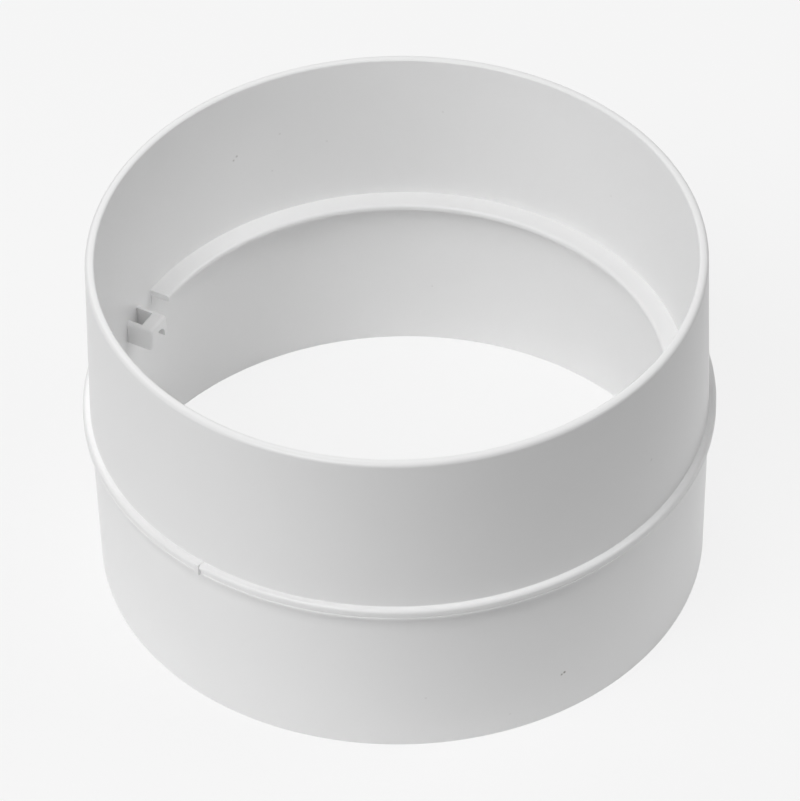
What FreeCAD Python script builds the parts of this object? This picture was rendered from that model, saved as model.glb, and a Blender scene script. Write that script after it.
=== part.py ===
import FreeCAD, Part
import math
import os
import Sketcher

# A straight round duct connector, moulded in one piece. The duct axis is Z, with the lower rim on
# the XY plane. The mould parts at mid length, where the stop bead runs round the outside and the
# drafts of the two inner cores meet. The flap's pin line is parallel to X, a little in front of
# the duct axis (towards -Y), with a bearing lug at each end.

# Driving sizes in millimetres and degrees: alias, value, meaning
SIZES = (
    ("overall_length", 76.2, "rim to rim"),
    ("root_diameter", 125.0, "outside of a spigot beside the bead, the duct size"),
    ("tip_diameter", 123.5, "outside of a spigot at its rim"),
    ("root_land", 5.0, "straight stretch of a spigot beside the bead"),
    ("upper_rim_wall", 1.65, "wall at the upper rim"),
    ("lower_rim_wall", 1.4, "wall at the lower rim"),
    ("waist_wall", 4.3, "wall at mid length"),
    ("upper_rim_break", 0.5, "bevel on both edges of the upper rim"),
    ("lower_rim_break", 0.3, "bevel on both edges of the lower rim"),
    ("bead_rise", 1.5, "stop bead above the spigots"),
    ("bead_width", 3.0, "stop bead along the duct axis"),
    ("bead_round", 0.8, "rounding of the bead's outer edges"),
    ("seat_rise", 4.0, "top of the flap seat above mid length"),
    ("seat_thickness", 1.3, "flap seat along the duct axis"),
    ("seat_width", 4.2, "flap seat inwards from the wall"),
    ("seat_sweep", 182.0, "arc of the flap seat, centred on +Y"),
    ("seat_break", 0.3, "bevel on the seat's inner edges"),
    ("pin_offset", 8.0, "flap pin line in front of the duct axis"),
    ("pin_bore", 4.0, "bore for the flap's pin"),
    ("lug_foot_wall", 1.4, "lug beside the bore at the lug's foot"),
    ("lug_top_wall", 1.1, "lug beside the bore at the lug's top"),
    ("lug_rise", 4.0, "top of the lug above the pin line"),
    ("lug_drop", 0.8, "foot of the lug below the pin line"),
    ("lug_reach", 6.1, "lug inwards from the wall"),
    ("arch_length", 2.8, "arch over the pin at the lug's inner end"),
    ("saddle_wall", 0.8, "wall of the saddle under the pin"),
    ("lug_break", 0.6, "bevel round the lug's top and inner end"),
    ("root_bury", 0.6, "how far the seat and the lugs run into the wall"),
    ("gate_angle", 260.5, "place of the gate mark on the bead, from +X"),
    ("gate_width", 1.2, "width of the gate nub, and of the notch beside it"),
    ("gate_height", 0.1, "gate nub above and below the bead, low enough for the duct to pass"),
    ("gate_depth", 0.4, "depth of the gate notch in the lower half of the bead"),
)
SIZE = {alias: value for alias, value, meaning in SIZES}

# Places that several features share, worked out from the driving sizes
MIDDLE = "Sizes.overall_length / 2"
ROOT_RADIUS = "Sizes.root_diameter / 2"
TIP_RADIUS = "Sizes.tip_diameter / 2"
BEAD_RADIUS = f"{ROOT_RADIUS} + Sizes.bead_rise"
BEAD_TOP = f"{MIDDLE} + Sizes.bead_width / 2"
BEAD_BOTTOM = f"{MIDDLE} - Sizes.bead_width / 2"
LAND_TOP = f"{BEAD_TOP} + Sizes.root_land"
LAND_BOTTOM = f"{BEAD_BOTTOM} - Sizes.root_land"
WAIST_RADIUS = f"({ROOT_RADIUS} - Sizes.waist_wall)"
LOWER_RIM_RADIUS = f"({TIP_RADIUS} - Sizes.lower_rim_wall)"
BURIED_RADIUS = f"{WAIST_RADIUS} + Sizes.root_bury"
SEAT_RADIUS = f"{WAIST_RADIUS} - Sizes.seat_width"
SEAT_TOP = f"{MIDDLE} + Sizes.seat_rise"
SEAT_LIFT = "(Sizes.seat_rise - Sizes.seat_thickness)"
LUG_TOP = f"{MIDDLE} + Sizes.lug_rise"
LUG_FOOT = f"{MIDDLE} - Sizes.lug_drop"
BORE_FRONT = "Sizes.pin_offset + Sizes.pin_bore / 2"
BORE_BACK = "Sizes.pin_offset - Sizes.pin_bore / 2"
LUG_FRONT = f"{BORE_FRONT} + Sizes.lug_foot_wall"
LUG_BACK = f"{BORE_BACK} - Sizes.lug_foot_wall"
LUG_END = f"sqrt({WAIST_RADIUS} ^ 2 - Sizes.pin_offset ^ 2) - Sizes.lug_reach"
ARCH_END = f"{LUG_END} + Sizes.arch_length"
LUG_ROOT = f"sqrt({WAIST_RADIUS} ^ 2 - ({LUG_BACK}) ^ 2) + Sizes.root_bury"

# How near two places count as the same
TOLERANCE = 0.001
# A sketch's own origin, as the part and point numbers that its constraints take
SKETCH_ORIGIN = (-1, 1)
# Where the corners of an outline start, before its constraints move them
ROUGH_RADIUS = 10.0


def add_sheet(doc):
    """Put the driving sizes in a sheet, one row each."""
    sheet = doc.addObject("Spreadsheet::Sheet", "Sizes")
    for row, (alias, value, meaning) in enumerate(SIZES, start=1):
        sheet.set(f"A{row}", alias)
        sheet.set(f"B{row}", str(value))
        sheet.set(f"C{row}", meaning)
        sheet.setAlias(f"B{row}", alias)
    doc.recompute()
    return sheet


def origin_plane(body, role):
    """The body's own origin plane with this role."""
    return next(plane for plane in body.Origin.OriginFeatures if plane.Role == role)


def add_sketch(body, name, role, set_back=None):
    """A sketch on an origin plane, or moved back from it along the plane's normal."""
    sketch = body.newObject("Sketcher::SketchObject", name)
    sketch.AttachmentSupport = [(origin_plane(body, role), "")]
    sketch.MapMode = "FlatFace"
    if set_back:
        sketch.setExpression("AttachmentOffset.Base.z", f"-({set_back})")
    return sketch


def hold_point(sketch, part, point, name, across, up):
    """Hold a point at a place given by two formulas; an across that starts with - lies left."""
    held = (part, point)
    ends = held + SKETCH_ORIGIN if across.startswith("-") else SKETCH_ORIGIN + held
    sketch.addConstraint(Sketcher.Constraint("DistanceX", *ends, 1.0))
    sketch.renameConstraint(sketch.ConstraintCount - 1, f"{name}_across")
    sketch.setExpression(f"Constraints.{name}_across", across.removeprefix("-"))
    sketch.addConstraint(Sketcher.Constraint("DistanceY", *SKETCH_ORIGIN, *held, 1.0))
    sketch.renameConstraint(sketch.ConstraintCount - 1, f"{name}_up")
    sketch.setExpression(f"Constraints.{name}_up", up)


def draw_outline(sketch, corners):
    """A closed outline of straight lines through named corners, each (name, across, up)."""
    count = len(corners)
    rough = []
    for index in range(count):
        angle = math.tau * index / count
        rough.append(FreeCAD.Vector(ROUGH_RADIUS * math.cos(angle), ROUGH_RADIUS * math.sin(angle), 0))
    for index in range(count):
        sketch.addGeometry(Part.LineSegment(rough[index], rough[(index + 1) % count]), False)
    for index in range(count):
        sketch.addConstraint(Sketcher.Constraint("Coincident", index, 2, (index + 1) % count, 1))
    for index, (name, across, up) in enumerate(corners):
        hold_point(sketch, index, 1, name, across, up)


def draw_circle(sketch, name, across, up, radius):
    """A circle whose centre and radius are given by formulas."""
    circle = Part.Circle(FreeCAD.Vector(0, 0, 0), FreeCAD.Vector(0, 0, 1), 1.0)
    sketch.addGeometry(circle, False)
    hold_point(sketch, 0, 3, name, across, up)
    sketch.addConstraint(Sketcher.Constraint("Radius", 0, 1.0))
    sketch.renameConstraint(sketch.ConstraintCount - 1, f"{name}_radius")
    sketch.setExpression(f"Constraints.{name}_radius", radius)


def add_turned(body, kind, name, sketch, angle=None):
    """A Revolution or Groove of a sketch about the duct axis; a part turn is centred on the sketch."""
    feature = body.newObject(f"PartDesign::{kind}", name)
    feature.Profile = sketch
    feature.ReferenceAxis = (sketch, ["V_Axis"])
    feature.Angle = 360.0
    if angle:
        feature.Midplane = True
        feature.setExpression("Angle", angle)
    return feature


def add_straight(body, kind, name, sketch, length):
    """A Pad or Pocket from a sketch outwards, towards -X."""
    feature = body.newObject(f"PartDesign::{kind}", name)
    feature.Profile = sketch
    feature.Type = "Length"
    feature.Reversed = kind == "Pad"
    feature.setExpression("Length", length)
    return feature


def cut_straight(body, name, sketch, length):
    """A Pocket from a sketch outwards, which has to take something away."""
    volume = body.Shape.Volume
    pocket = add_straight(body, "Pocket", name, sketch, length)
    body.Document.recompute()
    if not body.Shape.Volume < volume - TOLERANCE:
        raise RuntimeError(f"{name} cuts nothing")
    return pocket


def draw_slot(sketch, low, top):
    """An outline as wide as the pin bore, between two heights."""
    draw_outline(sketch, (
        ("front_low", f"-{BORE_FRONT}", low),
        ("back_low", f"-{BORE_BACK}", low),
        ("back_top", f"-{BORE_BACK}", top),
        ("front_top", f"-{BORE_FRONT}", top),
    ))


def dress_edges(body, kind, name, size, chosen):
    """A Fillet or Chamfer on the edges of the body's last feature that the chosen test picks."""
    base = body.Tip
    names = [f"Edge{i}" for i, edge in enumerate(base.Shape.Edges, start=1) if chosen(edge)]
    if not names:
        raise RuntimeError(f"{name} finds no edge")
    dressed = body.newObject(f"PartDesign::{kind}", name)
    dressed.Base = (base, names)
    dressed.setExpression("Radius" if kind == "Fillet" else "Size", f"Sizes.{size}")
    body.Document.recompute()


def is_near(first, second):
    return abs(first - second) < TOLERANCE


def is_circle(edge, radius=None, height=None):
    """True for an edge on a circle about the duct axis, of this radius and at this height."""
    if not isinstance(edge.Curve, Part.Circle):
        return False
    if radius is not None and not is_near(edge.Curve.Radius, radius):
        return False
    if not is_near(math.hypot(edge.Curve.Center.x, edge.Curve.Center.y), 0):
        return False
    return height is None or is_near(edge.Curve.Center.z, height)


def make_sleeve(body):
    """Both spigots, the stop bead and the drafted bore, turned from one section."""
    section = add_sketch(body, "sleeve_section", "XZ_Plane")
    draw_outline(section, (
        ("lower_tip", TIP_RADIUS, "0"),
        ("lower_land", ROOT_RADIUS, LAND_BOTTOM),
        ("lower_root", ROOT_RADIUS, BEAD_BOTTOM),
        ("bead_lower_edge", BEAD_RADIUS, BEAD_BOTTOM),
        ("bead_upper_edge", BEAD_RADIUS, BEAD_TOP),
        ("upper_root", ROOT_RADIUS, BEAD_TOP),
        ("upper_land", ROOT_RADIUS, LAND_TOP),
        ("upper_tip", TIP_RADIUS, "Sizes.overall_length"),
        ("upper_mouth", f"{TIP_RADIUS} - Sizes.upper_rim_wall", "Sizes.overall_length"),
        ("waist", WAIST_RADIUS, MIDDLE),
        ("lower_mouth", LOWER_RIM_RADIUS, "0"),
    ))
    add_turned(body, "Revolution", "sleeve", section)
    body.Document.recompute()


def make_seat(body):
    """The half-round flap seat. Under it the lower core's draft runs on past mid length."""
    section = add_sketch(body, "seat_section", "YZ_Plane")
    draft = f"({LOWER_RIM_RADIUS} - {WAIST_RADIUS}) / ({MIDDLE})"
    draw_outline(section, (
        ("buried_top", BURIED_RADIUS, SEAT_TOP),
        ("inner_top", SEAT_RADIUS, SEAT_TOP),
        ("inner_bottom", SEAT_RADIUS, f"{MIDDLE} + {SEAT_LIFT}"),
        ("core_step", f"{WAIST_RADIUS} - {draft} * {SEAT_LIFT}", f"{MIDDLE} + {SEAT_LIFT}"),
        ("waist", WAIST_RADIUS, MIDDLE),
        ("buried_waist", BURIED_RADIUS, MIDDLE),
    ))
    add_turned(body, "Revolution", "flap_seat", section, "Sizes.seat_sweep")
    body.Document.recompute()


def make_lugs(body):
    """The two bearing lugs, modelled at -X and mirrored.

    The bore is open above over the saddle, beside the wall, and open below under the arch, so the
    two cores form it between them. A flap's pin slides in along the bore from the inner end. The
    lugs come before the sleeve, so that the sleeve's wall closes the outer ends of the bores.
    """
    whole_length = f"{LUG_ROOT} - ({LUG_END})"
    saddle_length = f"{LUG_ROOT} - ({ARCH_END})"
    block_face = add_sketch(body, "lug_block_face", "YZ_Plane", LUG_END)
    draw_outline(block_face, (
        ("front_low", f"-{LUG_FRONT}", LUG_FOOT),
        ("back_low", f"-{LUG_BACK}", LUG_FOOT),
        ("back_top", f"-{BORE_BACK} - Sizes.lug_top_wall", LUG_TOP),
        ("front_top", f"-{BORE_FRONT} + Sizes.lug_top_wall", LUG_TOP),
    ))
    block = add_straight(body, "Pad", "lug_block", block_face, whole_length)
    saddle_face = add_sketch(body, "saddle_face", "YZ_Plane", ARCH_END)
    draw_circle(saddle_face, "saddle", "-Sizes.pin_offset", MIDDLE,
                "Sizes.pin_bore / 2 + Sizes.saddle_wall")
    saddle = add_straight(body, "Pad", "lug_saddle", saddle_face, saddle_length)
    body.Document.recompute()

    bore_face = add_sketch(body, "bore_face", "YZ_Plane", LUG_END)
    draw_circle(bore_face, "bore", "-Sizes.pin_offset", MIDDLE, "Sizes.pin_bore / 2")
    bore = cut_straight(body, "pin_bore", bore_face, whole_length)
    window_face = add_sketch(body, "window_face", "YZ_Plane", ARCH_END)
    draw_slot(window_face, MIDDLE, LUG_TOP)
    window = cut_straight(body, "saddle_window", window_face, saddle_length)
    slot_face = add_sketch(body, "slot_face", "YZ_Plane", LUG_END)
    draw_slot(slot_face, LUG_FOOT, MIDDLE)
    slot = cut_straight(body, "arch_slot", slot_face, "Sizes.arch_length")

    pair = body.newObject("PartDesign::Mirrored", "lug_pair")
    pair.Originals = [block, saddle, bore, window, slot]
    pair.MirrorPlane = (origin_plane(body, "YZ_Plane"), [""])
    body.Tip = pair
    body.Document.recompute()


def make_gate_mark(body):
    """The trimmed gate on the bead: a small nub flush with the bead, and a notch beside it."""
    degrees_wide = f"Sizes.gate_width / ({BEAD_RADIUS}) * 180 / pi"
    nub_section = add_sketch(body, "gate_nub_section", "XZ_Plane")
    notch_section = add_sketch(body, "gate_notch_section", "XZ_Plane")
    upright = FreeCAD.Vector(0, 1, 0)
    for section in (nub_section, notch_section):
        section.AttachmentOffset = FreeCAD.Placement(FreeCAD.Vector(), FreeCAD.Rotation(upright, 1))
    nub_section.setExpression("AttachmentOffset.Rotation.Angle", "Sizes.gate_angle")
    notch_section.setExpression("AttachmentOffset.Rotation.Angle", f"Sizes.gate_angle + {degrees_wide}")
    sunk = f"{ROOT_RADIUS} - Sizes.root_bury"
    draw_outline(nub_section, (
        ("buried_low", sunk, f"{BEAD_BOTTOM} - Sizes.gate_height"),
        ("outer_low", f"{BEAD_RADIUS} - Sizes.gate_depth", f"{BEAD_BOTTOM} - Sizes.gate_height"),
        ("edge_low", BEAD_RADIUS, BEAD_BOTTOM),
        ("edge_top", BEAD_RADIUS, BEAD_TOP),
        ("outer_top", f"{BEAD_RADIUS} - Sizes.gate_depth", f"{BEAD_TOP} + Sizes.gate_height"),
        ("buried_top", sunk, f"{BEAD_TOP} + Sizes.gate_height"),
    ))
    add_turned(body, "Revolution", "gate_nub", nub_section, degrees_wide)
    body.Document.recompute()
    nub_volume = body.Shape.Volume
    draw_outline(notch_section, (
        ("inner_low", f"{BEAD_RADIUS} - Sizes.gate_depth", f"{BEAD_BOTTOM} - Sizes.gate_height"),
        ("outer_low", f"{BEAD_RADIUS} + Sizes.gate_depth", f"{BEAD_BOTTOM} - Sizes.gate_height"),
        ("outer_top", f"{BEAD_RADIUS} + Sizes.gate_depth", MIDDLE),
        ("inner_top", f"{BEAD_RADIUS} - Sizes.gate_depth", MIDDLE),
    ))
    add_turned(body, "Groove", "gate_notch", notch_section, degrees_wide)
    body.Document.recompute()
    if not nub_volume > body.Shape.Volume:
        raise RuntimeError("the gate notch cuts nothing")


def dress_sleeve(body):
    """Bevel the rims and round the bead."""
    bead_radius = SIZE["root_diameter"] / 2 + SIZE["bead_rise"]
    dress_edges(body, "Chamfer", "upper_rim_bevels", "upper_rim_break",
                lambda edge: is_circle(edge, height=SIZE["overall_length"]))
    dress_edges(body, "Chamfer", "lower_rim_bevels", "lower_rim_break",
                lambda edge: is_circle(edge, height=0))
    dress_edges(body, "Fillet", "bead_rounds", "bead_round", lambda edge: is_circle(edge, bead_radius))


def dress_seat(body):
    """Bevel the seat's inner edges."""
    seat_radius = SIZE["root_diameter"] / 2 - SIZE["waist_wall"] - SIZE["seat_width"]
    dress_edges(body, "Chamfer", "seat_bevels", "seat_break", lambda edge: is_circle(edge, seat_radius))


def dress_lugs(body):
    """Bevel the outer edges of each lug's top and inner end."""
    waist_radius = SIZE["root_diameter"] / 2 - SIZE["waist_wall"]
    lug_end = math.sqrt(waist_radius ** 2 - SIZE["pin_offset"] ** 2) - SIZE["lug_reach"]
    lug_top = SIZE["overall_length"] / 2 + SIZE["lug_rise"]
    half_top = SIZE["pin_bore"] / 2 + SIZE["lug_top_wall"]

    def is_outer_edge(edge):
        box = edge.BoundBox
        on_top = is_near(box.ZMin, lug_top)
        on_end = is_near(box.XLength, 0) and is_near(abs(box.XMin), lug_end)
        on_side = is_near(box.YLength, 0) and is_near(abs(box.YMin + SIZE["pin_offset"]), half_top)
        upright = is_near(box.ZLength, SIZE["lug_rise"] + SIZE["lug_drop"])
        return on_top and (on_end or on_side) or on_end and upright

    dress_edges(body, "Chamfer", "lug_bevels", "lug_break", is_outer_edge)


def check_document(doc, body):
    """Stop unless every object was made and the body is one valid solid."""
    for thing in doc.Objects:
        if "Invalid" in thing.State or "Error" in thing.State:
            raise RuntimeError(f"{thing.Name} failed: {thing.State}")
    shape = body.Shape
    if shape.isNull() or not shape.isValid() or len(shape.Solids) != 1:
        raise RuntimeError(f"{body.Label} is not one valid solid")


def main():
    doc = FreeCAD.newDocument("duct_connector")
    add_sheet(doc)
    body = doc.addObject("PartDesign::Body", "Body")
    body.Label = "duct_connector"
    body.Placement = FreeCAD.Placement()
    body.AllowCompound = True
    make_lugs(body)
    dress_lugs(body)
    make_sleeve(body)
    dress_sleeve(body)
    make_seat(body)
    dress_seat(body)
    make_gate_mark(body)
    doc.recompute()
    check_document(doc, body)
    os.makedirs("parts", exist_ok=True)
    body.Shape.exportStep(f"parts/{body.Label}.step")
    box = body.Shape.optimalBoundingBox(True, False)
    print(f"{body.Label}: {box.XLength:.2f} x {box.YLength:.2f} x {box.ZLength:.2f} mm, "
          f"{body.Shape.Volume / 1000:.2f} cm3")


main()
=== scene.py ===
import math

import bmesh
import bpy
import numpy as np
from mathutils import Matrix, Vector


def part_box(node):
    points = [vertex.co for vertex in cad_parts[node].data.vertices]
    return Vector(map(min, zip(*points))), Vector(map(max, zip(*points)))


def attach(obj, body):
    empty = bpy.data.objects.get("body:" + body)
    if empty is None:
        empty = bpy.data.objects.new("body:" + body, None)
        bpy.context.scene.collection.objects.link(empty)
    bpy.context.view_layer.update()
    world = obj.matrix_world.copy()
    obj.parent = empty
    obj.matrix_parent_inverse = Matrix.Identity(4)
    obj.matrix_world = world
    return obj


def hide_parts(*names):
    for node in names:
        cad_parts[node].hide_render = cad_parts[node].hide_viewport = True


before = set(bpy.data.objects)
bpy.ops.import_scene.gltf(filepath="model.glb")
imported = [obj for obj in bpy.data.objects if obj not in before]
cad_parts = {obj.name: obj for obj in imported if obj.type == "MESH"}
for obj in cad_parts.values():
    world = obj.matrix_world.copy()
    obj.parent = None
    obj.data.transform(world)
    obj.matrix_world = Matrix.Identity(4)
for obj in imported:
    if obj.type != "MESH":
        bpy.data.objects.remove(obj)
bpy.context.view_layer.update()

bl_info = {
    "name": "Duct Connector",
    "version": (1, 0, 0),
    "blender": (4, 5, 0),
    "location": "View3D > Sidebar > Duct Connector",
    "description": "Dresses the moulded duct connector and sets its stage",
    "category": "Object",
}

# The connector stands on its lower rim, with the duct axis on Z. Lengths are in metres.
MM = 0.001
NODE = "duct_connector"
LOWEST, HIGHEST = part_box(NODE)
HEIGHT = HIGHEST.z - LOWEST.z
MIDDLE = HEIGHT / 2
# Outside of a spigot beside the bead
SPIGOT_RADIUS = 62.5 * MM

# How near two places count as the same
NEAR = 0.001 * MM
# Vertices nearer than this are merged
MERGE_DISTANCE = 0.0001 * MM
# How far a cutter runs past what it cuts
OVERRUN = 1.0 * MM
# Edges that meet at less than this angle are shaded as one smooth surface
SMOOTH_ANGLE = math.radians(28)
# Steps round a pin bore
BORE_STEPS = 64
# Width in millimetres of the sensor that the lens is given for
SENSOR_WIDTH = 36.0

# The sleeve's corners along each face of its wall, from the bottom up and past the bead
WALL_FACES = {
    "outside": ("lower_tip", "lower_land", "upper_land", "upper_tip"),
    "inside": ("lower_mouth", "waist", "upper_mouth"),
}

# Specks moulded into the wall: face, angle from +X in degrees, height and radius in millimetres, darkness
SPECKS = (
    ("outside", -29.2, 11.1, 0.46, 0.95),
    ("outside", -29.8, 10.8, 0.42, 0.70),
    ("inside", 153.1, 60.1, 0.44, 0.42),
    ("inside", 153.9, 59.4, 0.40, 0.42),
    ("inside", 143.3, 61.8, 0.40, 0.18),
    ("inside", 133.6, 57.1, 0.34, 0.18),
    ("inside", 145.4, 53.0, 0.34, 0.16),
    ("inside", 110.2, 63.4, 0.36, 0.16),
    ("inside", 71.8, 56.2, 0.34, 0.16),
    ("inside", 112.9, 15.3, 0.38, 0.16),
    ("outside", -7.7, 54.3, 0.50, 0.18),
    ("outside", -56.3, 13.2, 0.40, 0.15),
    ("outside", -40.4, 4.7, 0.36, 0.15),
)

# Soft lamps round the part: name, azimuth from -Y towards +X and elevation in degrees, power in watts
LAMPS = (
    ("key_lamp", 0, 55, 9.1),
    ("front_left_lamp", -30, 55, 4.6),
    ("low_lamp", -36, 12, 4.1),
    ("back_left_lamp", -133, 40, 5.0),
    ("right_lamp", 125, 42, 6.7),
)


class SleeveSizes(bpy.types.PropertyGroup):
    """Sizes of the two spigots and the bead between them."""

    root_radius: bpy.props.FloatProperty(
        name="Root Radius", description="Outside of a spigot beside the bead",
        default=SPIGOT_RADIUS, unit="LENGTH", precision=5)
    upper_tip_radius: bpy.props.FloatProperty(
        name="Upper Tip Radius", description="Outside of the upper spigot at its rim",
        default=62.0 * MM, unit="LENGTH", precision=5)
    lower_tip_radius: bpy.props.FloatProperty(
        name="Lower Tip Radius", description="Outside of the lower spigot at its rim",
        default=61.75 * MM, unit="LENGTH", precision=5)
    mouth_radius: bpy.props.FloatProperty(
        name="Mouth Radius", description="Bore at the upper rim",
        default=60.1 * MM, unit="LENGTH", precision=5)
    root_land: bpy.props.FloatProperty(
        name="Root Land", description="Straight stretch of a spigot beside the bead",
        default=5.0 * MM, unit="LENGTH", precision=5)
    lower_rim_wall: bpy.props.FloatProperty(
        name="Lower Rim Wall", description="Wall at the lower rim",
        default=1.4 * MM, unit="LENGTH", precision=5)
    waist_wall: bpy.props.FloatProperty(
        name="Waist Wall", description="Wall at mid length, where the drafts of the bore meet",
        default=4.3 * MM, unit="LENGTH", precision=5)
    upper_rim_outer_round: bpy.props.FloatProperty(
        name="Upper Rim Outer Round", description="Rounding of the upper rim's outer edge",
        default=0.85 * MM, unit="LENGTH", precision=5)
    upper_rim_inner_round: bpy.props.FloatProperty(
        name="Upper Rim Inner Round", description="Rounding of the upper rim's inner edge",
        default=0.4 * MM, unit="LENGTH", precision=5)
    lower_rim_round: bpy.props.FloatProperty(
        name="Lower Rim Round", description="Rounding of both edges of the lower rim",
        default=0.35 * MM, unit="LENGTH", precision=5)
    bead_rise: bpy.props.FloatProperty(
        name="Bead Rise", description="Stop bead above the spigots",
        default=HIGHEST.x - SPIGOT_RADIUS, unit="LENGTH", precision=5)
    bead_above: bpy.props.FloatProperty(
        name="Bead Above", description="Upper side of the stop bead above mid length",
        default=0.9 * MM, unit="LENGTH", precision=5)
    bead_below: bpy.props.FloatProperty(
        name="Bead Below", description="Lower side of the stop bead below mid length",
        default=1.5 * MM, unit="LENGTH", precision=5)
    bead_upper_round: bpy.props.FloatProperty(
        name="Bead Upper Round", description="Rounding of the bead's upper edge",
        default=0.8 * MM, unit="LENGTH", precision=5)
    bead_lower_round: bpy.props.FloatProperty(
        name="Bead Lower Round", description="Rounding of the bead's lower edge",
        default=0.2 * MM, unit="LENGTH", precision=5)
    parting_rise: bpy.props.FloatProperty(
        name="Parting Rise", description="Parting line of the mould above the bead's lower side",
        default=0.75 * MM, unit="LENGTH", precision=5)
    parting_groove: bpy.props.FloatProperty(
        name="Parting Groove", description="Depth and half width of the fine groove on the parting line",
        default=0.13 * MM, unit="LENGTH", precision=5)
    root_fillet: bpy.props.FloatProperty(
        name="Root Fillet", description="Hollow between the bead and a spigot",
        default=0.2 * MM, unit="LENGTH", precision=5)
    segments: bpy.props.IntProperty(
        name="Segments", description="Steps round the duct axis", default=360, min=24)


class SeatSizes(bpy.types.PropertyGroup):
    """Sizes of the half-round flap seat."""

    rise: bpy.props.FloatProperty(
        name="Rise", description="Top of the seat above mid length",
        default=4.0 * MM, unit="LENGTH", precision=5)
    thickness: bpy.props.FloatProperty(
        name="Thickness", description="Seat along the duct axis",
        default=1.3 * MM, unit="LENGTH", precision=5)
    width: bpy.props.FloatProperty(
        name="Width", description="Seat inwards from the waist of the bore",
        default=4.2 * MM, unit="LENGTH", precision=5)
    sweep: bpy.props.FloatProperty(
        name="Sweep", description="Arc of the seat, centred on +Y",
        default=math.radians(180), subtype="ANGLE")
    top_round: bpy.props.FloatProperty(
        name="Top Round", description="Rounding of the seat's upper inner edge",
        default=0.6 * MM, unit="LENGTH", precision=5)
    bottom_round: bpy.props.FloatProperty(
        name="Bottom Round", description="Rounding of the seat's lower inner edge",
        default=0.3 * MM, unit="LENGTH", precision=5)
    bury: bpy.props.FloatProperty(
        name="Bury", description="How far the seat runs into the wall",
        default=0.6 * MM, unit="LENGTH", precision=5)


class LugSizes(bpy.types.PropertyGroup):
    """Sizes of a bearing lug for the flap's pin."""

    pin_offset: bpy.props.FloatProperty(
        name="Pin Offset", description="Pin line in front of the duct axis",
        default=8.0 * MM, unit="LENGTH", precision=5)
    bore_radius: bpy.props.FloatProperty(
        name="Bore Radius", description="Radius of the bore for the flap's pin",
        default=2.0 * MM, unit="LENGTH", precision=5)
    foot_wall: bpy.props.FloatProperty(
        name="Foot Wall", description="Lug beside the bore at the lug's foot",
        default=1.4 * MM, unit="LENGTH", precision=5)
    top_wall: bpy.props.FloatProperty(
        name="Top Wall", description="Lug beside the bore at the lug's top",
        default=1.1 * MM, unit="LENGTH", precision=5)
    rise: bpy.props.FloatProperty(
        name="Rise", description="Top of the lug above the pin line",
        default=4.0 * MM, unit="LENGTH", precision=5)
    drop: bpy.props.FloatProperty(
        name="Drop", description="Foot of the lug below the pin line",
        default=0.8 * MM, unit="LENGTH", precision=5)
    reach: bpy.props.FloatProperty(
        name="Reach", description="Lug inwards from the wall",
        default=6.1 * MM, unit="LENGTH", precision=5)
    arch_length: bpy.props.FloatProperty(
        name="Arch Length", description="Arch over the pin at the lug's inner end",
        default=2.8 * MM, unit="LENGTH", precision=5)
    saddle_wall: bpy.props.FloatProperty(
        name="Saddle Wall", description="Wall of the saddle under the pin",
        default=0.8 * MM, unit="LENGTH", precision=5)
    edge_round: bpy.props.FloatProperty(
        name="Edge Round", description="Rounding of the outer edges of the lug's top and inner end",
        default=0.8 * MM, unit="LENGTH", precision=5)
    bury: bpy.props.FloatProperty(
        name="Bury", description="How far the lug runs into the wall",
        default=0.6 * MM, unit="LENGTH", precision=5)


class GateSizes(bpy.types.PropertyGroup):
    """Sizes of the trimmed gate on the bead."""

    angle: bpy.props.FloatProperty(
        name="Angle", description="Place of the gate round the bead, from +X",
        default=math.radians(260.5), subtype="ANGLE")
    width: bpy.props.FloatProperty(
        name="Width", description="Width of the gate nub, and of the notch beside it",
        default=1.2 * MM, unit="LENGTH", precision=5)
    height: bpy.props.FloatProperty(
        name="Height", description="Gate nub above and below the bead",
        default=0.1 * MM, unit="LENGTH", precision=5)
    proud: bpy.props.FloatProperty(
        name="Proud", description="Gate nub outside the bead",
        default=0.18 * MM, unit="LENGTH", precision=5)
    depth: bpy.props.FloatProperty(
        name="Depth", description="Depth of the gate notch in the lower half of the bead",
        default=0.4 * MM, unit="LENGTH", precision=5)
    bury: bpy.props.FloatProperty(
        name="Bury", description="How far the gate nub runs into the wall",
        default=0.6 * MM, unit="LENGTH", precision=5)


class PlasticLooks(bpy.types.PropertyGroup):
    """Finish of the white plastic."""

    colour: bpy.props.FloatVectorProperty(
        name="Colour", description="White of the plastic", subtype="COLOR", size=3,
        default=(0.90, 0.90, 0.90), min=0.0, max=1.0)
    roughness: bpy.props.FloatProperty(
        name="Roughness", description="Satin of the moulded surface",
        default=0.36, min=0.0, max=1.0, subtype="FACTOR")
    roughness_range: bpy.props.FloatProperty(
        name="Roughness Range", description="How far the roughness varies over the surface",
        default=0.05, min=0.0, max=0.2, subtype="FACTOR")
    mottle: bpy.props.FloatProperty(
        name="Mottle", description="How far the white varies over the surface",
        default=0.012, min=0.0, max=0.2, subtype="FACTOR")
    mottle_scale: bpy.props.FloatProperty(
        name="Mottle Scale", description="Patches of the mottle to a metre", default=28.0, min=0.0)
    grain_scale: bpy.props.FloatProperty(
        name="Grain Scale", description="Bumps of the fine grain to a metre", default=2600.0, min=0.0)
    grain_height: bpy.props.FloatProperty(
        name="Grain Height", description="Height of the fine grain",
        default=0.02 * MM, unit="LENGTH", precision=5)
    grain_strength: bpy.props.FloatProperty(
        name="Grain Strength", description="How much the fine grain shows",
        default=0.12, min=0.0, max=1.0, subtype="FACTOR")
    speck_colour: bpy.props.FloatVectorProperty(
        name="Speck Colour", description="Burnt specks in the plastic", subtype="COLOR", size=3,
        default=(0.22, 0.20, 0.18), min=0.0, max=1.0)


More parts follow.
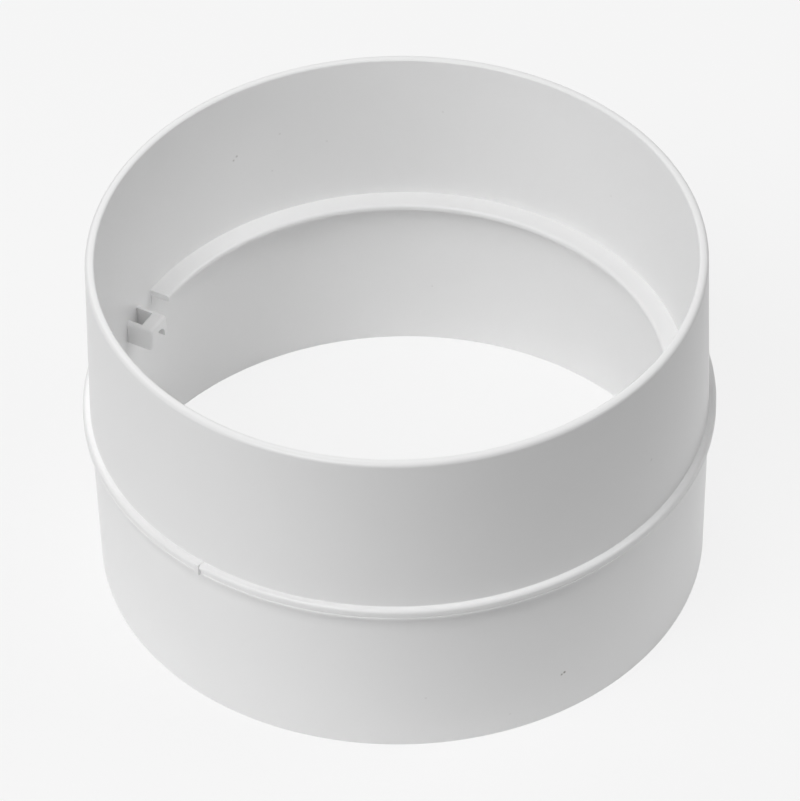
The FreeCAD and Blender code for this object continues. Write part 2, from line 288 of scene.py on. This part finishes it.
class StageLooks(bpy.types.PropertyGroup):
    """Floor, camera and lamps."""

    floor_colour: bpy.props.FloatVectorProperty(
        name="Floor Colour", description="Pale floor as the camera sees it", subtype="COLOR", size=3,
        default=(0.939, 0.939, 0.939), min=0.0, max=1.0)
    floor_size: bpy.props.FloatProperty(
        name="Floor Size", description="Length of the floor's sides", default=0.40, unit="LENGTH")
    floor_share: bpy.props.FloatProperty(
        name="Floor Share", description="How much of its plain colour the floor keeps under the shadow",
        default=0.88, min=0.0, max=1.0, subtype="FACTOR")
    ambient: bpy.props.FloatProperty(
        name="Ambient", description="Strength of the even light from all round", default=0.01, min=0.0)
    lamp_distance: bpy.props.FloatProperty(
        name="Lamp Distance", description="From each lamp to the part", default=1.5, unit="LENGTH")
    lamp_size: bpy.props.FloatProperty(
        name="Lamp Size", description="Length of each lamp's sides", default=0.8, unit="LENGTH")
    distance: bpy.props.FloatProperty(
        name="Camera Distance", description="From the camera to the part",
        default=1.481, unit="LENGTH")
    watched_height: bpy.props.FloatProperty(
        name="Watched Height", description="Place on the duct axis that the camera looks at",
        default=30.875 * MM, unit="LENGTH", precision=5)
    aim_lift: bpy.props.FloatProperty(
        name="Aim Lift", description="How far above the watched place the camera aims",
        default=4.31 * MM, unit="LENGTH", precision=5)
    elevation: bpy.props.FloatProperty(
        name="Camera Elevation", description="Height of the camera above the horizon",
        default=math.radians(42.47), subtype="ANGLE")
    azimuth: bpy.props.FloatProperty(
        name="Camera Azimuth", description="Camera round the part, from -Y towards +X",
        default=math.radians(30.0), subtype="ANGLE")
    roll: bpy.props.FloatProperty(
        name="Camera Roll", description="Tilt of the picture", default=math.radians(-1.16), subtype="ANGLE")
    lens: bpy.props.FloatProperty(
        name="Lens", description="Focal length for a 36 mm sensor", default=328.2, unit="CAMERA")


# Selecting, drawing and joining


def clear_selection():
    bpy.ops.object.select_all(action="DESELECT")


def select_only(thing):
    """Select this object alone, and make it the active one."""
    clear_selection()
    thing.select_set(True)
    bpy.context.view_layer.objects.active = thing


def pick_verts(test):
    """In edit mode, select the vertices whose place passes the test."""
    bpy.ops.mesh.select_mode(type="VERT")
    mesh = bpy.context.object.data
    bm = bmesh.from_edit_mesh(mesh)
    for vert in bm.verts:
        vert.select = test(vert.co)
    bm.select_flush_mode()
    bmesh.update_edit_mesh(mesh)


def pick_edges(test):
    """In edit mode, select the edges whose two ends pass the test together."""
    bpy.ops.mesh.select_mode(type="EDGE")
    bpy.ops.mesh.select_all(action="DESELECT")
    mesh = bpy.context.object.data
    bm = bmesh.from_edit_mesh(mesh)
    for edge in bm.edges:
        edge.select_set(test(edge.verts[0].co, edge.verts[1].co))
    bm.select_flush_mode()
    bmesh.update_edit_mesh(mesh)


def close_mesh():
    """In edit mode, merge what meets and turn every face outwards."""
    bpy.ops.mesh.select_all(action="SELECT")
    bpy.ops.mesh.remove_doubles(threshold=MERGE_DISTANCE)
    bpy.ops.mesh.normals_make_consistent(inside=False)


def draw_section(name, corners):
    """A flat face through (radius, height) corners in the XZ plane, left in edit mode."""
    clear_selection()
    bpy.ops.mesh.primitive_plane_add(size=MM, location=(0, 0, 0))
    piece = bpy.context.object
    piece.name = name
    bpy.ops.object.mode_set(mode="EDIT")
    bpy.ops.mesh.select_mode(type="VERT")
    bpy.ops.mesh.merge(type="CENTER")
    radius, height = corners[0]
    bpy.ops.transform.translate(value=(radius, 0, height))
    for next_radius, next_height in corners[1:]:
        step = (next_radius - radius, 0, next_height - height)
        bpy.ops.mesh.extrude_region_move(TRANSFORM_OT_translate={"value": step})
        radius, height = next_radius, next_height
    bpy.ops.mesh.select_all(action="SELECT")
    bpy.ops.mesh.edge_face_add()
    return piece


def round_corners(corners, size, steps):
    """In edit mode, round these (radius, height) corners of a section."""

    def at_a_corner(co):
        return any(math.hypot(co.x - x, co.z - z) < NEAR for x, z in corners)

    pick_verts(at_a_corner)
    bpy.ops.mesh.bevel(offset=size, segments=steps, affect="VERTICES", profile=0.5)


def combine(piece, other, operation):
    """Join another solid to the piece, or cut it out, and delete the other."""
    select_only(piece)
    boolean = piece.modifiers.new(operation.title(), "BOOLEAN")
    boolean.operation = operation
    boolean.solver = "EXACT"
    boolean.object = other
    bpy.ops.object.modifier_apply(modifier=boolean.name)
    if not piece.data.polygons:
        raise RuntimeError(f"{operation} with {other.name} left nothing of {piece.name}")
    bpy.data.objects.remove(other, do_unlink=True)


def mirrored_copy(piece):
    """A copy of the piece on the other side of the YZ plane, with its own mesh."""
    select_only(piece)
    bpy.ops.object.duplicate()
    twin = bpy.context.object
    bpy.ops.object.mode_set(mode="EDIT")
    bpy.ops.mesh.select_all(action="SELECT")
    bpy.ops.transform.resize(value=(-1, 1, 1), center_override=(0, 0, 0))
    bpy.ops.mesh.normals_make_consistent(inside=False)
    bpy.ops.object.mode_set(mode="OBJECT")
    return twin


# The moulding's solids


def sleeve_corners(sizes):
    """The named corners of the sleeve's section, as (radius, height)."""
    root = sizes.root_radius
    bead = root + sizes.bead_rise
    bead_low = MIDDLE - sizes.bead_below
    bead_high = MIDDLE + sizes.bead_above
    parting = bead_low + sizes.parting_rise
    groove = sizes.parting_groove
    return {
        "lower_tip": (sizes.lower_tip_radius, 0.0),
        "lower_land": (root, bead_low - sizes.root_land),
        "lower_root": (root, bead_low),
        "bead_lower_edge": (bead, bead_low),
        "groove_bottom": (bead, parting - groove),
        "groove_floor": (bead - groove, parting),
        "groove_top": (bead, parting + groove),
        "bead_upper_edge": (bead, bead_high),
        "upper_root": (root, bead_high),
        "upper_land": (root, bead_high + sizes.root_land),
        "upper_tip": (sizes.upper_tip_radius, HEIGHT),
        "upper_mouth": (sizes.mouth_radius, HEIGHT),
        "waist": (root - sizes.waist_wall, MIDDLE),
        "lower_mouth": (sizes.lower_tip_radius - sizes.lower_rim_wall, 0.0),
    }


def make_sleeve(sizes):
    """Both spigots, the stop bead and the drafted bore, spun from one section."""
    corners = sleeve_corners(sizes)
    sleeve = draw_section("connector_moulding", list(corners.values()))
    round_corners([corners["upper_tip"]], sizes.upper_rim_outer_round, steps=8)
    round_corners([corners["upper_mouth"]], sizes.upper_rim_inner_round, steps=5)
    round_corners([corners["lower_tip"], corners["lower_mouth"]], sizes.lower_rim_round, steps=4)
    round_corners([corners["bead_upper_edge"]], sizes.bead_upper_round, steps=6)
    round_corners([corners["bead_lower_edge"]], sizes.bead_lower_round, steps=3)
    round_corners([corners["lower_root"], corners["upper_root"]], sizes.root_fillet, steps=3)
    bpy.ops.mesh.select_all(action="SELECT")
    bpy.ops.mesh.delete(type="ONLY_FACE")
    bpy.ops.mesh.select_all(action="SELECT")
    bpy.ops.mesh.spin(steps=sizes.segments, angle=math.tau, center=(0, 0, 0), axis=(0, 0, 1))
    close_mesh()
    bpy.ops.object.mode_set(mode="OBJECT")
    return sleeve


def make_seat(sizes, sleeve_sizes):
    """The half-round flap seat. Under it the lower core's draft runs on past mid length."""
    corners = sleeve_corners(sleeve_sizes)
    waist, _ = corners["waist"]
    lower_mouth, _ = corners["lower_mouth"]
    draft = (lower_mouth - waist) / MIDDLE
    top = MIDDLE + sizes.rise
    bottom = top - sizes.thickness
    inner = waist - sizes.width
    core_step = waist - draft * (bottom - MIDDLE)
    seat = draw_section("flap_seat", [
        (waist + sizes.bury, top),
        (inner, top),
        (inner, bottom),
        (core_step, bottom),
        (waist, MIDDLE),
        (waist + sizes.bury, MIDDLE),
    ])
    round_corners([(inner, top)], sizes.top_round, steps=6)
    round_corners([(inner, bottom)], sizes.bottom_round, steps=3)
    bpy.ops.mesh.select_all(action="SELECT")
    steps = round(sleeve_sizes.segments * sizes.sweep / math.tau)
    bpy.ops.mesh.spin(steps=steps, angle=-sizes.sweep, center=(0, 0, 0), axis=(0, 0, 1))
    close_mesh()
    start = (math.pi - sizes.sweep) / 2
    bpy.ops.transform.rotate(value=-start, orient_axis="Z", center_override=(0, 0, 0))
    bpy.ops.object.mode_set(mode="OBJECT")
    return seat


def add_block(name, low, high):
    """A box between two corners."""
    clear_selection()
    bpy.ops.mesh.primitive_cube_add(size=1.0, location=(Vector(low) + Vector(high)) / 2)
    block = bpy.context.object
    block.name = name
    block.scale = Vector(high) - Vector(low)
    bpy.ops.object.transform_apply(location=True, rotation=True, scale=True)
    return block


def add_rod(name, radius, start, end, y, z):
    """A round rod along X between two places."""
    clear_selection()
    bpy.ops.mesh.primitive_cylinder_add(
        vertices=BORE_STEPS, radius=radius, depth=abs(end - start),
        location=((start + end) / 2, y, z), rotation=(0, math.pi / 2, 0))
    rod = bpy.context.object
    rod.name = name
    bpy.ops.object.transform_apply(location=True, rotation=True, scale=True)
    return rod


def make_lug(sizes, sleeve_sizes):
    """The bearing lug at -X: a bore that is a saddle beside the wall and an arch at the inner end."""
    waist, _ = sleeve_corners(sleeve_sizes)["waist"]
    pin_y = -sizes.pin_offset
    bore = sizes.bore_radius
    half_foot = bore + sizes.foot_wall
    half_top = bore + sizes.top_wall
    foot = MIDDLE - sizes.drop
    top = MIDDLE + sizes.rise
    lug_end = -(math.sqrt(waist ** 2 - sizes.pin_offset ** 2) - sizes.reach)
    arch_end = lug_end - sizes.arch_length
    root = -math.sqrt(waist ** 2 - (sizes.pin_offset - half_foot) ** 2) - sizes.bury

    def is_outer_edge(a, b):
        on_end = min(a.x, b.x) > lug_end - NEAR
        on_top = min(a.z, b.z) > top - NEAR
        along = abs(a.x - b.x) > sizes.reach / 2
        across = abs(a.y - b.y) > half_top
        upright = abs(a.z - b.z) > sizes.rise / 2
        return (on_top and along) or (on_end and upright) or (on_end and on_top and across)

    lug = add_block("pin_lug", (root, pin_y - half_foot, foot), (lug_end, pin_y + half_foot, top))
    bpy.ops.object.mode_set(mode="EDIT")
    pick_verts(lambda co: co.z > top - NEAR)
    bpy.ops.transform.resize(value=(1, half_top / half_foot, 1), center_override=(0, pin_y, 0))
    pick_edges(is_outer_edge)
    bpy.ops.mesh.bevel(offset=sizes.edge_round, segments=5, affect="EDGES", profile=0.5)
    close_mesh()
    bpy.ops.object.mode_set(mode="OBJECT")

    saddle = add_rod("saddle", bore + sizes.saddle_wall, root, arch_end, pin_y, MIDDLE)
    combine(lug, saddle, "UNION")
    pin_bore = add_rod("pin_bore", bore, root - OVERRUN, lug_end + OVERRUN, pin_y, MIDDLE)
    combine(lug, pin_bore, "DIFFERENCE")
    window = add_block(
        "saddle_window", (root - OVERRUN, pin_y - bore, MIDDLE), (arch_end, pin_y + bore, top + OVERRUN))
    combine(lug, window, "DIFFERENCE")
    slot = add_block(
        "arch_slot", (arch_end, pin_y - bore, foot - OVERRUN), (lug_end + OVERRUN, pin_y + bore, MIDDLE))
    combine(lug, slot, "DIFFERENCE")
    return lug


def turn_about_axis(piece, angle):
    """Turn the piece's mesh about the duct axis, from +X."""
    select_only(piece)
    piece.rotation_euler.z = angle
    bpy.ops.object.transform_apply(location=True, rotation=True, scale=True)


def make_gate(sizes, sleeve_sizes):
    """The gate nub, and the notch to cut out beside it, as two solids."""
    corners = sleeve_corners(sleeve_sizes)
    bead, low = corners["bead_lower_edge"]
    root, high = corners["upper_root"]
    half = sizes.width / 2

    face = bead + sizes.proud
    nub = add_block(
        "gate_nub", (root - sizes.bury, -half, low - sizes.height), (face, half, high + sizes.height))
    bpy.ops.object.mode_set(mode="EDIT")
    pick_edges(lambda a, b: min(a.x, b.x) > face - NEAR)
    bpy.ops.mesh.bevel(offset=sizes.proud, segments=3, affect="EDGES", profile=0.5)
    close_mesh()
    bpy.ops.object.mode_set(mode="OBJECT")
    turn_about_axis(nub, sizes.angle)

    notch = add_block(
        "gate_notch", (bead - sizes.depth, -half, low - sizes.height),
        (bead + sizes.depth, half, MIDDLE))
    turn_about_axis(notch, sizes.angle + sizes.width / bead)
    return nub, notch


# Finishes


def link(tree, source, target):
    tree.links.new(source, target)


def add_node(tree, kind, values=None, **settings):
    """A node of this kind, with these settings and these values on its inputs."""
    node = tree.nodes.new(kind)
    for name, setting in settings.items():
        setattr(node, name, setting)
    for name, value in (values or {}).items():
        node.inputs[name].default_value = value
    return node


def add_largest(tree, outputs):
    """The largest of these values at each place."""
    largest = outputs[0]
    for output in outputs[1:]:
        larger = add_node(tree, "ShaderNodeMath", operation="MAXIMUM")
        link(tree, largest, larger.inputs[0])
        link(tree, output, larger.inputs[1])
        largest = larger.outputs["Value"]
    return largest


def make_speck_group():
    """A soft round spot: 0 outside its size, and its strength at the centre."""
    group = bpy.data.node_groups.new("speck", "ShaderNodeTree")
    for name, kind in (("Place", "Vector"), ("Centre", "Vector"), ("Size", "Float"), ("Strength", "Float")):
        group.interface.new_socket(name, in_out="INPUT", socket_type=f"NodeSocket{kind}")
    group.interface.new_socket("Mask", in_out="OUTPUT", socket_type="NodeSocketFloat")
    source = group.nodes.new("NodeGroupInput")
    result = group.nodes.new("NodeGroupOutput")
    away = add_node(group, "ShaderNodeVectorMath", operation="DISTANCE")
    spot = add_node(group, "ShaderNodeMapRange", {"From Max": 0.0}, interpolation_type="SMOOTHSTEP")
    link(group, source.outputs["Place"], away.inputs[0])
    link(group, source.outputs["Centre"], away.inputs[1])
    link(group, away.outputs["Value"], spot.inputs["Value"])
    link(group, source.outputs["Size"], spot.inputs["From Min"])
    link(group, source.outputs["Strength"], spot.inputs["To Max"])
    link(group, spot.outputs["Result"], result.inputs["Mask"])
    return group


def place_on_wall(sizes, face, angle, height):
    """The place on one face of the sleeve's wall at this angle and height."""
    corners = sleeve_corners(sizes)
    radii, heights = zip(*(corners[name] for name in WALL_FACES[face]))
    radius = np.interp(height, heights, radii)
    return Vector((radius * math.cos(angle), radius * math.sin(angle), height))


def add_specks(tree, place, sleeve_sizes):
    """A mask of all the specks."""
    group = make_speck_group()
    masks = []
    for face, angle, height, radius, strength in SPECKS:
        centre = place_on_wall(sleeve_sizes, face, math.radians(angle), height * MM)
        values = {"Centre": centre, "Size": radius * MM, "Strength": strength}
        speck = add_node(tree, "ShaderNodeGroup", values, node_tree=group)
        link(tree, place, speck.inputs["Place"])
        masks.append(speck.outputs["Mask"])
    return add_largest(tree, masks)


def make_plastic(looks, sleeve_sizes):
    """Satin white plastic, as it comes from the mould."""
    material = bpy.data.materials.new("satin_plastic")
    material.use_nodes = True
    tree = material.node_tree
    shader = tree.nodes["Principled BSDF"]
    place = tree.nodes.new("ShaderNodeTexCoord").outputs["Object"]

    cloud = add_node(
        tree, "ShaderNodeTexNoise", {"Scale": looks.mottle_scale, "Detail": 3.0, "Roughness": 0.5})
    link(tree, place, cloud.inputs["Vector"])
    tone = add_node(
        tree, "ShaderNodeMapRange", {"To Min": 1.0 - looks.mottle, "To Max": 1.0 + looks.mottle})
    link(tree, cloud.outputs["Fac"], tone.inputs["Value"])
    tint = add_node(tree, "ShaderNodeVectorMath", {0: looks.colour}, operation="SCALE")
    link(tree, tone.outputs["Result"], tint.inputs["Scale"])
    specked = add_node(tree, "ShaderNodeMix", data_type="RGBA")
    plain, dark = [socket for socket in specked.inputs if socket.type == "RGBA"]
    colour = next(socket for socket in specked.outputs if socket.type == "RGBA")
    dark.default_value = (*looks.speck_colour, 1.0)
    link(tree, add_specks(tree, place, sleeve_sizes), specked.inputs["Factor"])
    link(tree, tint.outputs["Vector"], plain)
    link(tree, colour, shader.inputs["Base Color"])

    satin = add_node(tree, "ShaderNodeMapRange", {
        "To Min": looks.roughness - looks.roughness_range,
        "To Max": looks.roughness + looks.roughness_range,
    })
    link(tree, cloud.outputs["Fac"], satin.inputs["Value"])
    link(tree, satin.outputs["Result"], shader.inputs["Roughness"])

    grain = add_node(
        tree, "ShaderNodeTexNoise", {"Scale": looks.grain_scale, "Detail": 2.0, "Roughness": 0.55})
    link(tree, place, grain.inputs["Vector"])
    bump = add_node(
        tree, "ShaderNodeBump", {"Strength": looks.grain_strength, "Distance": looks.grain_height})
    link(tree, grain.outputs["Fac"], bump.inputs["Height"])
    link(tree, bump.outputs["Normal"], shader.inputs["Normal"])
    return material


def add_seen_share(tree, share):
    """A value that is this share on rays that show a surface as it is, and 0 on rays that carry light."""
    path = tree.nodes.new("ShaderNodeLightPath")
    seen_by = ("Is Camera Ray", "Is Glossy Ray", "Is Transmission Ray")
    part = add_node(tree, "ShaderNodeMath", {1: share}, operation="MULTIPLY")
    link(tree, add_largest(tree, [path.outputs[kind] for kind in seen_by]), part.inputs[0])
    return part.outputs["Value"]


def make_floor_paper(looks):
    """Pale floor: the camera sees it nearly plain, with a faint shadow, and light bounces off it."""
    material = bpy.data.materials.new("floor_paper")
    material.use_nodes = True
    material.cycles.emission_sampling = "NONE"
    tree = material.node_tree
    tree.nodes.remove(tree.nodes["Principled BSDF"])
    colour = (*looks.floor_colour, 1.0)
    paper = add_node(tree, "ShaderNodeBsdfDiffuse", {"Color": colour})
    glow = add_node(tree, "ShaderNodeEmission", {"Color": colour})
    mix = tree.nodes.new("ShaderNodeMixShader")
    link(tree, add_seen_share(tree, looks.floor_share), mix.inputs["Fac"])
    link(tree, paper.outputs["BSDF"], mix.inputs[1])
    link(tree, glow.outputs["Emission"], mix.inputs[2])
    link(tree, mix.outputs["Shader"], tree.nodes["Material Output"].inputs["Surface"])
    return material


# Stage


def camera_axes(looks):
    """The camera's right, up and back directions, rolled with the picture."""
    level, height = math.cos(looks.elevation), math.sin(looks.elevation)
    side, front = math.sin(looks.azimuth), math.cos(looks.azimuth)
    back = Vector((side * level, -front * level, height))
    right = Vector((front, side, 0.0))
    up = back.cross(right)
    turn, tilt = math.cos(looks.roll), math.sin(looks.roll)
    return right * turn + up * tilt, up * turn - right * tilt, back


def add_camera(looks):
    """The camera at the picture's viewing angle, aimed a little above the part's middle."""
    right, up, back = camera_axes(looks)
    watched = Vector((0.0, 0.0, looks.watched_height))
    place = watched + back * looks.distance
    back = (place - watched - up * looks.aim_lift).normalized()
    up = back.cross(right)
    clear_selection()
    bpy.ops.object.camera_add(location=place)
    camera = bpy.context.object
    camera.name = "camera"
    camera.data.lens = looks.lens
    camera.data.sensor_width = SENSOR_WIDTH
    camera.matrix_world = Matrix.Translation(place) @ Matrix((right, up, back)).transposed().to_4x4()
    bpy.context.scene.camera = camera


def add_lamp(name, azimuth, elevation, distance, size, power):
    """A square soft lamp round the part, aimed at its middle."""
    level = math.cos(elevation) * distance
    place = Vector((math.sin(azimuth) * level, -math.cos(azimuth) * level, math.sin(elevation) * distance))
    clear_selection()
    bpy.ops.object.light_add(type="AREA", location=place + Vector((0, 0, MIDDLE)))
    lamp = bpy.context.object
    lamp.name = name
    lamp.data.shape = "SQUARE"
    lamp.data.size = size
    lamp.data.energy = power
    lamp.rotation_mode = "QUATERNION"
    lamp.rotation_quaternion = (-place).to_track_quat("-Z", "Y")


def light_world(looks):
    """Even light from all round; the camera sees it as pale as the floor."""
    world = bpy.data.worlds.new("studio")
    bpy.context.scene.world = world
    world.use_nodes = True
    tree = world.node_tree
    around = tree.nodes["Background"]
    around.inputs["Color"].default_value = (1.0, 1.0, 1.0, 1.0)
    around.inputs["Strength"].default_value = looks.ambient
    backdrop = add_node(tree, "ShaderNodeBackground", {"Color": (*looks.floor_colour, 1.0)})
    mix = tree.nodes.new("ShaderNodeMixShader")
    link(tree, add_seen_share(tree, 1.0), mix.inputs["Fac"])
    link(tree, around.outputs["Background"], mix.inputs[1])
    link(tree, backdrop.outputs["Background"], mix.inputs[2])
    link(tree, mix.outputs["Shader"], tree.nodes["World Output"].inputs["Surface"])


# Operators


class OBJECT_OT_connector_moulding(bpy.types.Operator):
    """Model the one-piece moulding: sleeve, bead, flap seat, pin lugs and gate mark"""

    bl_idname = "object.connector_moulding"
    bl_label = "Connector Moulding"

    def execute(self, context):
        scene = context.scene
        moulding = make_sleeve(scene.sleeve_sizes)
        combine(moulding, make_seat(scene.seat_sizes, scene.sleeve_sizes), "UNION")
        lug = make_lug(scene.lug_sizes, scene.sleeve_sizes)
        combine(moulding, mirrored_copy(lug), "UNION")
        combine(moulding, lug, "UNION")
        nub, notch = make_gate(scene.gate_sizes, scene.sleeve_sizes)
        combine(moulding, nub, "UNION")
        combine(moulding, notch, "DIFFERENCE")
        select_only(moulding)
        bpy.ops.object.shade_smooth_by_angle(angle=SMOOTH_ANGLE)
        moulding.data.materials.clear()
        moulding.data.materials.append(make_plastic(scene.plastic_looks, scene.sleeve_sizes))
        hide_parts(NODE)
        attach(moulding, "root")
        return {"FINISHED"}


class SCENE_OT_connector_stage(bpy.types.Operator):
    """Set the pale floor, the camera and the soft lamps"""

    bl_idname = "scene.connector_stage"
    bl_label = "Connector Stage"

    def execute(self, context):
        scene = context.scene
        looks = scene.stage_looks
        clear_selection()
        bpy.ops.mesh.primitive_grid_add(
            x_subdivisions=8, y_subdivisions=8, size=looks.floor_size, location=(0, 0, 0))
        floor = context.object
        floor.name = "floor"
        floor.data.materials.append(make_floor_paper(looks))
        add_camera(looks)
        light_world(looks)
        for name, azimuth, elevation, power in LAMPS:
            add_lamp(name, math.radians(azimuth), math.radians(elevation),
                     looks.lamp_distance, looks.lamp_size, power)
        scene.view_settings.view_transform = "Standard"
        return {"FINISHED"}


class VIEW3D_PT_duct_connector(bpy.types.Panel):
    """Lists the sizes, the looks and the operators"""

    bl_label = "Duct Connector"
    bl_idname = "VIEW3D_PT_duct_connector"
    bl_space_type = "VIEW_3D"
    bl_region_type = "UI"
    bl_category = "Duct Connector"

    def draw(self, context):
        layout = self.layout
        for operator in OPERATORS:
            layout.operator(operator.bl_idname)
        for name, group in GROUPS.items():
            box = layout.box()
            box.label(text=group.__doc__)
            for size in group.__annotations__:
                box.prop(getattr(context.scene, name), size)


GROUPS = {
    "sleeve_sizes": SleeveSizes,
    "seat_sizes": SeatSizes,
    "lug_sizes": LugSizes,
    "gate_sizes": GateSizes,
    "plastic_looks": PlasticLooks,
    "stage_looks": StageLooks,
}
OPERATORS = (OBJECT_OT_connector_moulding, SCENE_OT_connector_stage)
CLASSES = (*GROUPS.values(), *OPERATORS, VIEW3D_PT_duct_connector)


def register():
    for each in CLASSES:
        bpy.utils.register_class(each)
    for name, group in GROUPS.items():
        setattr(bpy.types.Scene, name, bpy.props.PointerProperty(type=group))


def unregister():
    for name in GROUPS:
        delattr(bpy.types.Scene, name)
    for each in reversed(CLASSES):
        bpy.utils.unregister_class(each)


def main():
    register()
    bpy.ops.object.connector_moulding()
    bpy.ops.scene.connector_stage()


if __name__ == "__main__":
    main()
